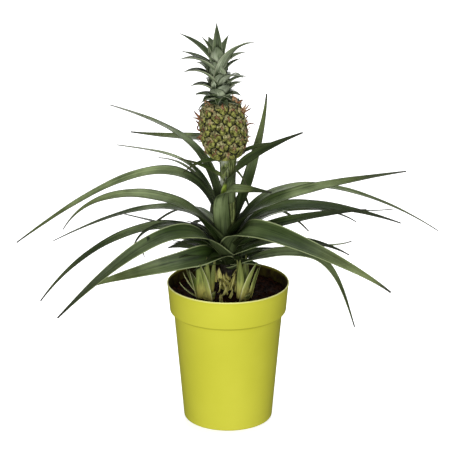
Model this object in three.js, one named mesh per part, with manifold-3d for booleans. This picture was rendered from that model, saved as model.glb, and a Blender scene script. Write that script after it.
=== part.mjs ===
// A potted pineapple plant: a nursery pot filled with soil, a leafy stem that carries one small fruit
// with its crown, and the stumps of side shoots. Millimetres, +Z up, the origin under the pot's base.
// Azimuths are degrees round +Z from +X, and elevations are degrees above the horizontal.

import * as THREE from 'three';
import { mergeVertices } from 'three/addons/utils/BufferGeometryUtils.js';
import Module from 'manifold-3d';

const wasm = await Module();
wasm.setup();

// Driving dimensions

const GAP = 0.3;

const POT = {
  height: 165,
  rimRadius: 70,
  bandFootRadius: 66.8,
  ledgeHeight: 131.6,
  bodyTopRadius: 62.6,
  baseRadius: 51.2,
  baseRounding: 2,
  wall: 1.6,
  floor: 3,
  edge: 0.6,
  drainHoles: 5,
  drainRadius: 4,
  drainCircle: 30,
  drainSegments: 12,
  segments: 40,
};

const SOIL = { top: 153.5, edgeDrop: 2, lumpRings: [52, 38, 24, 12], lumps: 1.6, segments: 30, seed: 11 };

const STEM = {
  foot: 112,
  footRounding: 3,
  radius: 8,
  stalkFoot: 262,
  stalkRise: 16,
  stalkRadius: 8.6,
  collar: 1.5,
  collarHeight: 8,
  top: 312.6,
  seatRadius: 12,
  seatDepth: 20,
  segments: 12,
};

const SHOOT = {
  depth: 14,
  neck: 6,
  shoulder: 13,
  top: 14,
  topShare: 0.6,
  bladeShare: 0.55,
  bladeFoot: 4,
  segments: 8,
};

const BLADE = {
  midThickness: 1.05,
  edgeThickness: 0.7,
  tipWidth: 0.6,
  taperPower: 1.3,
  flare: 0.25,
  flareShare: 0.06,
  gutter: 58,
  sink: 1.5,
};
const LEAF = {
  foot: 8.8,
  cells: 4,
  fewestRings: 8,
  ringSpacing: 22,
  fullness: 2.4,
  rollStart: 0.06,
  rollEnd: 0.4,
};
const BRACT_SHAPE = { steps: 3, cells: 2, fullness: 2.4, waist: 1 };
const SHOOT_SHAPE = { steps: 3, cells: 2, fullness: 4, waist: 1 };
const CROWN_SHAPE = { steps: 4, cells: 1, fullness: 1.7, waist: 0.4 };
const WAIST_SHARE = 0.33;

const FRUIT = {
  height: 66,
  radius: 27.8,
  footRadius: 9,
  topRadius: 13,
  squareness: 2.3,
  shoulder: 0.6,
  rows: 9,
  segments: 14,
  eyes: 58,
  firstEye: 0.1,
  lastEye: 0.93,
  eyeRadius: 8.4,
  smallestEye: 0.55,
  eyeSides: 6,
  eyeRelief: 3.4,
  eyeRoot: 4,
  pointShift: 0.3,
  lean: 7,
  offset: -1,
};

const CROWN = { height: 46, footRadius: 10, topRadius: 3.5, lean: 2.5, sink: 2.5, segments: 8 };

const GOLDEN_ANGLE = 137.5;

// Long leaves: azimuth, foot height, elevation at the foot, [out, up] half-way, [out, up] at the tip,
// elevation at the tip, width, sideways swing of the tip, roll of the blade about its own length, and
// the power by which the swing sets in along the blade, which is 2 where none is given
const LEAVES = [
  [-60, 182, 38, [74, 207], [95, 119], -83, 17, 112, -38],
  [25, 186, 52, [80, 193], [160, 190], 14, 10, 0, 0],
  [146, 187, 75, [36, 202], [84, 189], -26, 20, 0, 40],
  [240, 188, 75, [62, 199], [108, 168], -83, 24, -121, 70],
  [10, 190, 56, [72, 211], [142, 188], -34, 14, 0, -20],
  [76, 191, 60, [75, 212], [165, 152], -42, 15, 0, 0],
  [46, 194, 60, [65, 217], [120, 184], -45, 12, 0, 0],
  [241, 195, 52, [71, 243], [177, 158], -59, 19, -117, 48],
  [165, 195, 62, [62, 224], [126, 236], 10, 8, 0, 0],
  [112, 197, 60, [72, 216], [160, 165], -38, 15, 0, 0],
  [183, 199, 66, [95, 231], [215, 145], -54, 15, 0, 24],
  [-71, 201, 73, [79, 241], [153, 189], -57, 25, 136, -51],
  [35, 201, 66, [100, 232], [244, 206], -5, 12, 0, 12],
  [128, 204, 66, [80, 232], [160, 182], -42, 12, 0, 0],
  [198, 204, 68, [62, 241], [111, 220], -72, 10, 0, 15],
  [-40, 206, 66, [62, 245], [150, 268], 5, 17, 60, -32],
  [160, 207, 70, [95, 243], [219, 188], -30, 12, 0, 15],
  [58, 207, 66, [85, 230], [185, 172], -40, 13, 0, 0],
  [12, 208, 68, [80, 248], [151, 226], -38, 10, 0, -10],
  [-126, 207, 78, [18, 262], [38, 298], 39, 22, 86, -10, 4],
  [97, 210, 66, [85, 238], [190, 168], -45, 13, 0, 0],
  [-20, 212, 70, [82, 262], [184, 235], -28, 17, 68, -28],
  [199, 213, 69, [87, 273], [177, 227], -64, 19, -63, 24],
  [20, 216, 74, [118, 266], [265, 195], -36, 13, 0, -12],
  [-40, 220, 74, [66, 276], [176, 309], 9, 20, 97, -28],
  [150, 220, 78, [48, 290], [92, 299], -6, 8, 0, 0],
  [172, 224, 80, [100, 290], [247, 200], -38, 15, 0, 28],
  [55, 224, 80, [26, 262], [43, 241], -66, 7, 0, 0],
  [165, 231, 80, [50, 304], [131, 318], 4, 10, 0, 0],
  [20, 231, 77, [30, 302], [46, 383], 88, 16, 0, -28],
  [146, 238, 82, [47, 318], [165, 349], 6, 15, 0, 0],
  [88, 247, 84, [66, 313], [190, 287], -8, 13, 125, 35],
  [-94, 262, 85, [17, 293], [76, 366], 50, 13, 86, -20],
];

// Crown leaves: azimuth, height of the foot, length, elevation at the foot and at the tip, width
const CROWN_LEAVES = [
  [-150, 2, 15, 25, -20, 13],
  [-20, 3, 20, 45, -38, 11],
  [170, 4, 21, 25, -20, 11],
  [100, 4, 18, 35, -25, 13],
  [-110, 5, 17, 55, 0, 15],
  [45, 6, 20, 40, -20, 13],
  [-60, 7, 20, 64, -5, 15],
  [15, 9, 23, 45, -5, 11],
  [185, 10, 29, 50, -30, 13],
  [120, 11, 26, 50, -20, 13],
  [-80, 13, 23, 78, 15, 16],
  [-10, 13, 31, 55, -8, 11],
  [65, 14, 28, 52, -15, 14],
  [-40, 17, 36, 60, -30, 14],
  [190, 19, 42, 60, -28, 15],
  [-112, 21, 29, 80, 25, 18],
  [140, 23, 34, 58, -10, 14],
  [90, 25, 36, 60, -5, 15],
  [160, 23, 22, 48, 0, 11],
  [-34, 27, 67, 72, 0, 18],
  [0, 26, 31, 68, 8, 11],
  [195, 31, 48, 56, -18, 14],
  [40, 33, 32, 62, 5, 14],
  [165, 33, 45, 45, 8, 11],
  [110, 36, 42, 68, 20, 14],
  [10, 33, 36, 60, -5, 12],
  [-94, 34, 34, 88, 35, 19],
  [172, 38, 56, 58, 24, 15],
  [60, 38, 40, 70, 25, 8],
  [160, 41, 35, 72, 48, 10],
  [80, 40, 48, 90, 90, 15],
];

// Thin bracts on the fruit stalk: azimuth, height, length, elevation at the foot and at the tip, width
const STALK_BRACTS = [
  [200, 301, 58, 18, -40, 5],
  [184, 305, 34, 0, -18, 4],
  [-8, 303, 56, 24, 14, 5],
  [-34, 303, 28, -34, -66, 4],
  [-110, 304, 13, -10, -60, 6],
  [120, 302, 30, 10, -35, 5],
  [50, 303, 34, 5, -30, 5],
];

// Curled stubs of old leaves low on the stem, in the columns of the stalk bracts
const OLD_STUBS = [
  [-112, 157, 25, 66, 78, 9],
  [-84, 158, 19, 70, 10, 8],
  [-62, 157, 25, 62, 84, 9],
  [-98, 172, 12, 20, -60, 7],
  [70, 158, 24, 66, 50, 9],
  [150, 158, 22, 64, 30, 9],
];

// Side shoots: the foot's place, then blades as azimuth, length, elevation at the foot and tip, width,
// and the roll of the blade about its own length where it has one
const SHOOTS = {
  shoot_left: {
    place: [-23, -24],
    radius: 7,
    blades: [
      [195, 48, 76, 66, 15, -75],
      [-90, 42, 86, 88, 13],
      [10, 42, 84, 86, 12, 70],
      [110, 50, 80, 76, 14],
      [176, 34, 22, 66, 4],
      [160, 38, 38, 74, 4],
    ],
  },
  shoot_right: {
    place: [18, -24],
    radius: 6.5,
    blades: [
      [-12, 48, 70, 60, 15, 75],
      [-100, 40, 84, 86, 13],
      [80, 48, 80, 74, 13],
      [175, 40, 86, 84, 12, -70],
    ],
  },
};

// Small helpers

const radians = THREE.MathUtils.degToRad;

const polar = (angle, length = 1) => new THREE.Vector2(Math.cos(angle) * length, Math.sin(angle) * length);

function seededRandom(seed) {
  let state = seed;
  return () => {
    state = (state * 1664525 + 1013904223) % 4294967296;
    return state / 4294967296;
  };
}

function toSolid(geometry) {
  const bare = geometry.clone();
  bare.deleteAttribute('normal');
  bare.deleteAttribute('uv');
  const merged = mergeVertices(bare, 1e-4);
  const vertProperties = new Float32Array(merged.attributes.position.array);
  const triVerts = new Uint32Array(merged.index.array);
  return new wasm.Manifold(new wasm.Mesh({ numProp: 3, vertProperties, triVerts }));
}

function toGeometry(solid) {
  const { vertProperties, triVerts } = solid.getMesh();
  const geometry = new THREE.BufferGeometry();
  geometry.setAttribute('position', new THREE.BufferAttribute(new Float32Array(vertProperties), 3));
  geometry.setIndex(new THREE.BufferAttribute(new Uint32Array(triVerts), 1));
  return geometry;
}

function joinAll(geometries) {
  return geometries.map(toSolid).reduce((whole, piece) => whole.add(piece));
}

function largestBody(solid) {
  const bodies = solid.decompose();
  return bodies.reduce((kept, body) => (body.volume() > kept.volume() ? body : kept));
}

// A solid of revolution about Z from a list of [radius, height] that starts and ends on the axis
function turned(profile, segments) {
  const points = profile.map(([radius, height]) => new THREE.Vector2(radius, height));
  return new THREE.LatheGeometry(points, segments).rotateX(Math.PI / 2);
}

// Blades

// Joins stations, each a gutter-shaped cross-section, into one closed blade. Both faces are split
// along the same diagonals, so that the blade keeps its thickness where it bends.
function bladeGeometry(stations, cells) {
  const positions = [];
  const indices = [];
  const side = cells + 1;
  for (const { centre, across, normal, width, gutter, grow } of stations) {
    const radius = width / gutter;
    for (const face of [1, -1]) {
      for (let i = 0; i < side; i += 1) {
        const share = 1 - (2 * i) / cells;
        const angle = (share * gutter) / 2;
        const swell = (BLADE.midThickness - BLADE.edgeThickness) * (1 - share * share);
        const depth = radius - (face * (BLADE.edgeThickness + swell + grow)) / 2;
        const point = centre.clone();
        point.addScaledVector(across, depth * Math.sin(angle));
        point.addScaledVector(normal, radius - depth * Math.cos(angle));
        positions.push(point.x, point.y, point.z);
      }
    }
  }
  const at = (station, face, i) => (2 * station + face) * side + i;
  const quad = (a, b, c, d) => indices.push(a, b, c, a, c, d);
  for (let s = 0; s + 1 < stations.length; s += 1) {
    for (let i = 0; i < cells; i += 1) {
      quad(at(s, 0, i), at(s, 0, i + 1), at(s + 1, 0, i + 1), at(s + 1, 0, i));
      indices.push(at(s, 1, i), at(s + 1, 1, i + 1), at(s, 1, i + 1));
      indices.push(at(s, 1, i), at(s + 1, 1, i), at(s + 1, 1, i + 1));
    }
    quad(at(s, 0, 0), at(s + 1, 0, 0), at(s + 1, 1, 0), at(s, 1, 0));
    quad(at(s, 0, cells), at(s, 1, cells), at(s + 1, 1, cells), at(s + 1, 0, cells));
  }
  const last = stations.length - 1;
  for (let i = 0; i < cells; i += 1) {
    quad(at(0, 0, i), at(0, 1, i), at(0, 1, i + 1), at(0, 0, i + 1));
    quad(at(last, 0, i), at(last, 0, i + 1), at(last, 1, i + 1), at(last, 1, i));
  }
  const geometry = new THREE.BufferGeometry();
  geometry.setAttribute('position', new THREE.Float32BufferAttribute(positions, 3));
  geometry.setIndex(indices);
  return geometry;
}

// The frame of a blade that runs along heading and climbs at the given elevation, rolled about itself
function bladeFrame(heading, elevation, roll) {
  const out = new THREE.Vector3(Math.cos(heading), Math.sin(heading), 0);
  const across = new THREE.Vector3(-out.y, out.x, 0);
  const normal = out.multiplyScalar(-Math.sin(elevation));
  normal.z = Math.cos(elevation);
  const cosine = Math.cos(roll);
  const sine = Math.sin(roll);
  return {
    across: across.clone().multiplyScalar(cosine).addScaledVector(normal, -sine),
    normal: normal.clone().multiplyScalar(cosine).addScaledVector(across, sine),
  };
}

// The width along a blade, from its foot at share 0 to its pointed tip at share 1
function taper(share, width, fullness) {
  return width * Math.max(0, 1 - share ** fullness) ** BLADE.taperPower + BLADE.tipWidth;
}

// The arch of a long leaf in its own upright plane. It leaves the foot and reaches the tip along
// the two given elevations, and half-way it passes the middle point.
function leafArch(height, rise, middle, tip, slope) {
  const foot = new THREE.Vector2(LEAF.foot, height);
  const end = new THREE.Vector2(...tip);
  const leaving = polar(radians(rise));
  const arriving = polar(radians(slope));
  const pull = new THREE.Vector2(...middle).multiplyScalar(8);
  pull.addScaledVector(foot, -4).addScaledVector(end, -4);
  const spread = 3 * leaving.cross(arriving);
  const first = foot.clone().addScaledVector(leaving, pull.cross(arriving) / spread);
  const second = end.clone().addScaledVector(arriving, -pull.cross(leaving) / spread);
  return new THREE.CubicBezierCurve(foot, first, second, end);
}

function leafGeometry(leaf, grow = 0) {
  const [azimuth, foot, rise, middle, tip, slope, width, swing, roll, onset = 2] = leaf;
  const arch = leafArch(foot, rise, middle, tip, slope);
  const rings = Math.max(LEAF.fewestRings, Math.round(arch.getLength() / LEAF.ringSpacing));
  const direction = radians(azimuth);
  const stations = [];
  for (let ring = 0; ring <= rings; ring += 1) {
    const share = ring / rings;
    const point = arch.getPointAt(share);
    const tangent = arch.getTangentAt(share);
    const reach = Math.max(0, point.x / tip[0]);
    const aside = swing * reach ** onset;
    const drift = (onset * swing * reach ** (onset - 1)) / tip[0];
    const heading = direction + Math.atan(drift);
    const elevation = Math.atan2(tangent.y, tangent.x * Math.hypot(1, drift));
    const turn = radians(roll) * THREE.MathUtils.smoothstep(share, LEAF.rollStart, LEAF.rollEnd);
    const flare = 1 + BLADE.flare * Math.exp(-share / BLADE.flareShare);
    const full = taper(share, width * flare, LEAF.fullness);
    const radius = Math.min(point.x, full / radians(BLADE.gutter));
    const place = polar(direction, point.x).add(polar(direction + Math.PI / 2, aside));
    // A grown blade is longer too, by as much at its foot and at its tip
    const spare = { 0: -grow, [rings]: grow }[ring] ?? 0;
    const ahead = polar(heading, Math.cos(elevation) * spare);
    const height = point.y + Math.sin(elevation) * spare;
    stations.push({
      centre: new THREE.Vector3(place.x + ahead.x, place.y + ahead.y, height),
      ...bladeFrame(heading, elevation, turn),
      width: full + grow,
      gutter: (full + grow) / radius,
      grow,
    });
  }
  return bladeGeometry(stations, LEAF.cells);
}

// A short blade whose elevation changes evenly from its foot to its tip
function curlGeometry(foot, [azimuth, length, startElevation, endElevation, width, roll = 0], shape) {
  const { steps, cells, fullness, waist } = shape;
  const heading = radians(azimuth);
  const stations = [];
  const centre = foot.clone();
  for (let step = 0; step <= steps; step += 1) {
    const share = step / steps;
    const elevation = radians(THREE.MathUtils.lerp(startElevation, endElevation, share));
    const narrowing = THREE.MathUtils.lerp(waist, 1, Math.min(1, share / WAIST_SHARE));
    stations.push({
      centre: centre.clone(),
      ...bladeFrame(heading, elevation, radians(roll)),
      width: taper(share, width, fullness) * narrowing,
      gutter: radians(BLADE.gutter),
      grow: 0,
    });
    const run = (Math.cos(elevation) * length) / steps;
    centre.x += Math.cos(heading) * run;
    centre.y += Math.sin(heading) * run;
    centre.z += (Math.sin(elevation) * length) / steps;
  }
  return bladeGeometry(stations, cells);
}

// Pot and soil

function bodyRadius(height) {
  const share = height / POT.ledgeHeight;
  return THREE.MathUtils.lerp(POT.baseRadius, POT.bodyTopRadius, share);
}

function potGeometry() {
  const { height, rimRadius, bandFootRadius, ledgeHeight, wall, floor, edge } = POT;
  const { baseRadius, baseRounding, drainHoles, drainRadius, drainCircle } = POT;
  const rounding = [0, 45, 90].map((angle) => {
    const corner = polar(radians(angle - 90), baseRounding);
    return [baseRadius - baseRounding + corner.x, baseRounding + corner.y];
  });
  const profile = [
    [0, 0],
    ...rounding,
    [bodyRadius(ledgeHeight), ledgeHeight],
    [bandFootRadius - edge, ledgeHeight],
    [bandFootRadius, ledgeHeight + edge],
    [rimRadius - edge / 3, height - 2 * edge],
    [rimRadius - edge, height - edge / 2],
    [rimRadius - 2 * edge, height],
    [rimRadius - wall - edge, height],
    [rimRadius - wall - 1.5 * edge, height - 2 * edge],
    [bandFootRadius - wall, ledgeHeight + wall],
    [bodyRadius(ledgeHeight) - wall, ledgeHeight + wall],
    [bodyRadius(floor) - wall, floor],
    [0, floor],
  ];
  let solid = toSolid(turned(profile, POT.segments));
  for (let hole = 0; hole < drainHoles; hole += 1) {
    const place = polar((hole * 2 * Math.PI) / drainHoles, drainCircle);
    const drain = new THREE.CylinderGeometry(drainRadius, drainRadius, 4 * floor, POT.drainSegments);
    drain.rotateX(Math.PI / 2).translate(place.x, place.y, 0);
    solid = solid.subtract(toSolid(drain));
  }
  return toGeometry(solid);
}

function soilGeometry() {
  const { height, ledgeHeight, wall, floor, bandFootRadius, rimRadius } = POT;
  const random = seededRandom(SOIL.seed);
  const edgeHeight = SOIL.top - SOIL.edgeDrop;
  const bandShare = (edgeHeight - ledgeHeight) / (height - ledgeHeight);
  const body = [
    [0, floor + GAP],
    [bodyRadius(floor) - wall - GAP, floor + GAP],
    [bodyRadius(ledgeHeight) - wall - GAP, ledgeHeight + wall + GAP],
    [bandFootRadius - wall - GAP, ledgeHeight + wall + GAP],
    [THREE.MathUtils.lerp(bandFootRadius, rimRadius, bandShare) - 2 * wall, edgeHeight],
  ];
  const rings = SOIL.lumpRings.map((radius) => [radius, SOIL.top]);
  const geometry = turned([...body, ...rings, [0, SOIL.top]], SOIL.segments);
  const position = geometry.attributes.position;
  const rows = body.length + rings.length + 1;
  const lump = new Map();
  for (let i = 0; i < position.count; i += 1) {
    const row = i % rows;
    const around = Math.floor(i / rows) % SOIL.segments;
    if (row < body.length || row === rows - 1) continue;
    const key = `${row} ${around}`;
    if (!lump.has(key)) lump.set(key, (2 * random() - 1) * SOIL.lumps);
    position.setZ(i, SOIL.top + lump.get(key));
  }
  let solid = toSolid(geometry);
  const holes = [[0, 0, STEM.radius, STEM.foot]];
  for (const { place, radius } of Object.values(SHOOTS)) {
    holes.push([...place, radius, SOIL.top - SHOOT.depth]);
  }
  for (const [x, y, radius, bottom] of holes) {
    const depth = height - bottom;
    const hole = new THREE.CylinderGeometry(radius + GAP, radius + GAP, depth, STEM.segments);
    hole.rotateX(Math.PI / 2).translate(x, y, bottom - GAP + depth / 2);
    solid = solid.subtract(toSolid(hole));
  }
  return toGeometry(solid);
}

// Stem with its stubs and bracts, and the side shoots

function stemCore(grow) {
  const { foot, footRounding, stalkFoot, stalkRise, collar, collarHeight, segments } = STEM;
  const radius = STEM.radius + grow;
  const stalkRadius = STEM.stalkRadius + grow;
  const end = STEM.top + footRounding;
  return turned([
    [0, foot],
    [radius - 1, foot],
    [radius, foot + footRounding],
    [radius, stalkFoot],
    [stalkRadius, stalkFoot + stalkRise],
    [stalkRadius, STEM.top - collarHeight],
    [stalkRadius + collar, end],
    [0, end],
  ], segments);
}

function stemGeometry() {
  const blades = [...STALK_BRACTS, ...OLD_STUBS].map(([azimuth, height, ...form]) => {
    const root = polar(radians(azimuth), STEM.radius - BLADE.sink);
    const foot = new THREE.Vector3(root.x, root.y, height);
    return curlGeometry(foot, [azimuth, ...form], BRACT_SHAPE);
  });
  // The top is cut along the leaning foot of the fruit
  const { seatRadius, seatDepth, segments } = STEM;
  const seat = new THREE.CylinderGeometry(seatRadius, seatRadius, seatDepth, segments);
  seat.rotateX(Math.PI / 2).translate(0, 0, seatDepth / 2 - GAP);
  seat.rotateY(-radians(FRUIT.lean)).translate(FRUIT.offset, 0, STEM.top);
  return toGeometry(joinAll([stemCore(0), ...blades]).subtract(toSolid(seat)));
}

function shootSolid({ place, radius, blades }) {
  const [x, y] = place;
  const bottom = SOIL.top - SHOOT.depth;
  const base = turned([
    [0, bottom],
    [radius, bottom],
    [radius, SOIL.top + SHOOT.neck],
    [radius * SHOOT.topShare, SOIL.top + SHOOT.shoulder],
    [0, SOIL.top + SHOOT.top],
  ], SHOOT.segments).translate(x, y, 0);
  const leaves = blades.map((blade) => {
    const root = polar(radians(blade[0]), radius * SHOOT.bladeShare);
    const foot = new THREE.Vector3(x + root.x, y + root.y, SOIL.top + SHOOT.bladeFoot);
    return curlGeometry(foot, blade, SHOOT_SHAPE);
  });
  return joinAll([base, ...leaves]);
}

// Fruit and crown, each built up from its own foot at the origin

function fruitRadius(share) {
  const { radius, footRadius, topRadius, eyeRelief, squareness, shoulder } = FRUIT;
  const end = share < 0.5 ? footRadius : topRadius;
  const round = (1 - Math.abs(2 * share - 1) ** squareness) ** shoulder;
  return end + (radius - eyeRelief - end) * round;
}

function fruitGeometry() {
  const { height, rows, segments, eyes, firstEye, lastEye, eyeRadius, eyeRelief, eyeRoot } = FRUIT;
  const profile = [[0, 0]];
  for (let row = 0; row <= rows; row += 1) {
    const share = (1 - Math.cos((row / rows) * Math.PI)) / 2;
    profile.push([fruitRadius(share) - 1, share * height]);
  }
  profile.push([0, height]);
  const pieces = [turned(profile, segments)];
  const depth = eyeRelief + eyeRoot;
  const step = 0.01;
  for (let eye = 0; eye < eyes; eye += 1) {
    const share = THREE.MathUtils.lerp(firstEye, lastEye, eye / (eyes - 1));
    const rise = 2 * step * height;
    const tilt = Math.atan2(fruitRadius(share + step) - fruitRadius(share - step), rise);
    const fit = THREE.MathUtils.lerp(FRUIT.smallestEye, 1, fruitRadius(share) / (FRUIT.radius - eyeRelief));
    const scale = new THREE.ConeGeometry(eyeRadius * fit, depth, FRUIT.eyeSides, 1);
    // The point of each scale sits above its middle
    const corners = scale.attributes.position;
    for (let i = 0; i < corners.count; i += 1) {
      if (corners.getY(i) > 0) corners.setZ(i, -eyeRadius * FRUIT.pointShift);
    }
    scale.rotateX(Math.PI / 2).rotateY(Math.PI / 2 + tilt);
    scale.translate(fruitRadius(share) + eyeRelief - depth / 2, 0, share * height);
    scale.rotateZ(radians(eye * GOLDEN_ANGLE));
    pieces.push(scale);
  }
  // The crown stands on the flat top
  return toGeometry(joinAll(pieces).trimByPlane([0, 0, -1], -height));
}

function crownGeometry() {
  const { height, footRadius, topRadius, sink, segments } = CROWN;
  const core = turned([
    [0, -footRadius],
    [footRadius, -footRadius],
    [footRadius, 0],
    [topRadius, height],
    [0, height + topRadius],
  ], segments);
  const leaves = CROWN_LEAVES.map(([azimuth, foot, ...form]) => {
    const radius = THREE.MathUtils.lerp(footRadius, topRadius, foot / height) - sink;
    const root = polar(radians(azimuth), radius);
    const place = new THREE.Vector3(root.x, root.y, foot + 1);
    return curlGeometry(place, [azimuth, ...form], CROWN_SHAPE);
  });
  // The foot is cut along the top of the fruit, which leans more than the crown does
  const upright = joinAll([core, ...leaves]).rotate([0, FRUIT.lean - CROWN.lean, 0]);
  return toGeometry(largestBody(upright.trimByPlane([0, 0, 1], 0)));
}

// Assembly

const plant = new THREE.Group();

function addMesh(parent, name, geometry, colour, roughness) {
  const material = new THREE.MeshStandardMaterial({ color: colour, roughness, metalness: 0 });
  material.name = name;
  const mesh = new THREE.Mesh(geometry, material);
  mesh.name = name;
  parent.add(mesh);
  return mesh;
}

addMesh(plant, 'pot', potGeometry(), 0xc8c83c, 0.45);
addMesh(plant, 'soil', soilGeometry(), 0x2a1c14, 0.95);
addMesh(plant, 'stem', stemGeometry(), 0x6d7a4c, 0.7);

// The highest leaves are the innermost. Each leaf gives way to the ones inside it, and the side
// shoots give way to all of them.
const placed = [toSolid(stemCore(GAP))];
const clearOfPlaced = (solid) => largestBody(placed.reduce((rest, inner) => rest.subtract(inner), solid));

for (let index = LEAVES.length - 1; index >= 0; index -= 1) {
  const leaf = toSolid(leafGeometry(LEAVES[index]));
  const solid = clearOfPlaced(leaf);
  placed.push(leaf.add(toSolid(leafGeometry(LEAVES[index], 2 * GAP))));
  const name = `leaf_${String(index + 1).padStart(2, '0')}`;
  addMesh(plant, name, toGeometry(solid), 0x4c5f3c, 0.55);
}
for (const [name, shoot] of Object.entries(SHOOTS)) {
  addMesh(plant, name, toGeometry(clearOfPlaced(shootSolid(shoot))), 0xb4b878, 0.65);
}

const head = new THREE.Group();
head.position.set(FRUIT.offset, 0, STEM.top);
head.rotation.y = -radians(FRUIT.lean);
plant.add(head);
addMesh(head, 'fruit', fruitGeometry(), 0x7a7434, 0.6);

const crown = addMesh(head, 'crown', crownGeometry(), 0x718064, 0.6);
crown.position.z = FRUIT.height + GAP;

export default plant;
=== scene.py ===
"""A potted pineapple plant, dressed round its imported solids. The tables are in millimetres, in the
frame of the solids: +Z up, the origin under the middle of the pot, -Y towards the camera."""

from math import atan2, cos, degrees, hypot, pi, radians, sin, sqrt

import bpy
import numpy as np
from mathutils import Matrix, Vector, noise


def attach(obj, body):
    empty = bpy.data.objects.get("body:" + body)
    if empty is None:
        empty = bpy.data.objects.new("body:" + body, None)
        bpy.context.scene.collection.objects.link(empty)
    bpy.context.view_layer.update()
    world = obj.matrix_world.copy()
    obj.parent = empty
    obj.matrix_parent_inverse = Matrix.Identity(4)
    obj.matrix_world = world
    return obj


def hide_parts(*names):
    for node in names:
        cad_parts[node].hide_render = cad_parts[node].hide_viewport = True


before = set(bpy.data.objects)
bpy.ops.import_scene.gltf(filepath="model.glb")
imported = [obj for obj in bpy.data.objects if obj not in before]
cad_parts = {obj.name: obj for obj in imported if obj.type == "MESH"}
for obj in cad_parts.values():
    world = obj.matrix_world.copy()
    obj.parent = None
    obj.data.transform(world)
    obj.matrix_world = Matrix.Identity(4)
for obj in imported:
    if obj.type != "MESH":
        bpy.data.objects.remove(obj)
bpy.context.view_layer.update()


# The studio: a broad pale floor that runs past the edges of the picture, one big soft light in
# front, weaker ones at the sides and behind, and a long lens that looks down a little.

MM = 0.001


class Shade:
    """A socket among a material's nodes. Arithmetic on it adds Math nodes."""

    def __init__(self, tree, socket=None):
        self.tree, self.socket = tree, socket

    def node(self, kind, settings, inputs, output=0):
        made = self.tree.nodes.new("ShaderNode" + kind)
        for name, value in settings.items():
            setattr(made, name, value)
        for key, value in inputs.items():
            target = made.inputs[key]
            if isinstance(value, Shade):
                self.tree.links.new(value.socket, target)
            elif target.type == "RGBA":
                target.default_value = (*value, 1)
            else:
                target.default_value = value
        return Shade(self.tree, made.outputs[output] if made.outputs else None)

    def math(self, operation, *values):
        return self.node("Math", {"operation": operation}, dict(enumerate(values)))

    def __add__(self, other):
        return self.math("ADD", self, other)

    def __sub__(self, other):
        return self.math("SUBTRACT", self, other)

    def __rsub__(self, other):
        return self.math("SUBTRACT", other, self)

    def __mul__(self, other):
        return self.math("MULTIPLY", self, other)

    def __abs__(self):
        return self.math("ABSOLUTE", self)

    __radd__ = __add__
    __rmul__ = __mul__

    def part(self, axis):
        return self.node("SeparateXYZ", {}, {"Vector": self}, axis)

    def step(self, low, high):
        """0 below low, 1 above high and smooth between them; falling where high is the lower one."""
        ends = {"Value": self, "From Min": low, "From Max": high}
        return self.node("MapRange", {"interpolation_type": "SMOOTHSTEP"}, ends)

    def mix(self, low, high):
        """The first colour where this socket is 0, the second where it is 1."""
        return self.node("Mix", {"data_type": "RGBA"}, {0: self, 6: low, 7: high}, 2)

    def place(self):
        return self.node("TexCoord", {}, {}, "Object")

    def trait(self, name):
        return self.node("Attribute", {"attribute_name": name}, {}, "Vector")

    def joined(self, x, y, z):
        return self.node("CombineXYZ", {}, {0: x, 1: y, 2: z})

    def noise(self, scale, detail=2):
        """Smooth noise at this position."""
        return self.node("TexNoise", {}, {"Vector": self, "Scale": scale, "Detail": detail})

    def scaled(self, factors):
        return self.node("VectorMath", {"operation": "MULTIPLY"}, {0: self, 1: factors})

    def surface(self, colour, roughness, height, depth, specular):
        """A surface with a relief of that height, 0 to 1, and depth, in metres."""
        relief = self.node("Bump", {}, {"Height": height, "Distance": depth})
        inputs = {"Base Color": colour, "Roughness": roughness, "Normal": relief}
        return self.node("BsdfPrincipled", {}, inputs | {"Specular IOR Level": specular})


def finish(name, paint, *hues):
    """A material whose surface comes from a paint function and the hues that it takes."""
    material = bpy.data.materials.new(name)
    material.use_nodes = True
    material.node_tree.nodes.clear()
    shade = Shade(material.node_tree)
    shade.node("OutputMaterial", {}, {"Surface": paint(shade, *hues)})
    return material


def paint_floor(shade):
    colour = shade.place().noise(60).step(0.3, 0.7).mix((0.9, 0.9, 0.895), (0.93, 0.93, 0.925))
    glow = {"Emission Color": (1, 1, 1), "Emission Strength": 0.6}
    return shade.node("BsdfPrincipled", {}, {"Base Color": colour, "Roughness": 0.9} | glow)


link = bpy.context.scene.collection.objects.link
floor_mesh = bpy.data.meshes.new("floor")
floor_mesh.from_pydata([(-8, -8, 0), (8, -8, 0), (8, 12, 0), (-8, 12, 0)], [], [(0, 1, 2, 3)])
floor_mesh.materials.append(finish("pale_floor", paint_floor))
floor = bpy.data.objects.new("floor", floor_mesh)
link(floor)
# The floor glows to stay white in the picture. It doesn't light the plant or shine in it.
floor.visible_diffuse = floor.visible_glossy = False

camera = bpy.data.objects.new("camera", bpy.data.cameras.new("camera"))
camera.data.lens, camera.data.sensor_width = 162.2, 36
camera.location = (-0.0012, -2.2016, 0.9802)
camera.rotation_euler = (radians(71.2), 0, 0)
link(camera)
bpy.context.scene.camera = camera


def softbox(name, place, aim, size, power):
    """A square soft light that points at a height on the plant's axis."""
    lamp = bpy.data.lights.new(name, "AREA")
    lamp.size, lamp.energy = size, power
    light = bpy.data.objects.new(name, lamp)
    light.location = place
    light.rotation_euler = (Vector((0, 0, aim)) - Vector(place)).to_track_quat("-Z", "Y").to_euler()
    link(light)


softbox("key_light", (-0.5, -1.9, 1.5), 0.25, 1.2, 7)
softbox("low_light", (-0.1, -2.4, 0.38), 0.15, 0.9, 47)
softbox("top_light", (0.1, 0.3, 2.4), 0.2, 1.5, 34)
softbox("left_light", (-2.2, 0.4, 0.9), 0.25, 1, 2)
softbox("right_light", (2.2, 0.4, 0.9), 0.25, 1, 2)
softbox("back_light", (0, 2.4, 1.2), 0.25, 1.4, 26)

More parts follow.
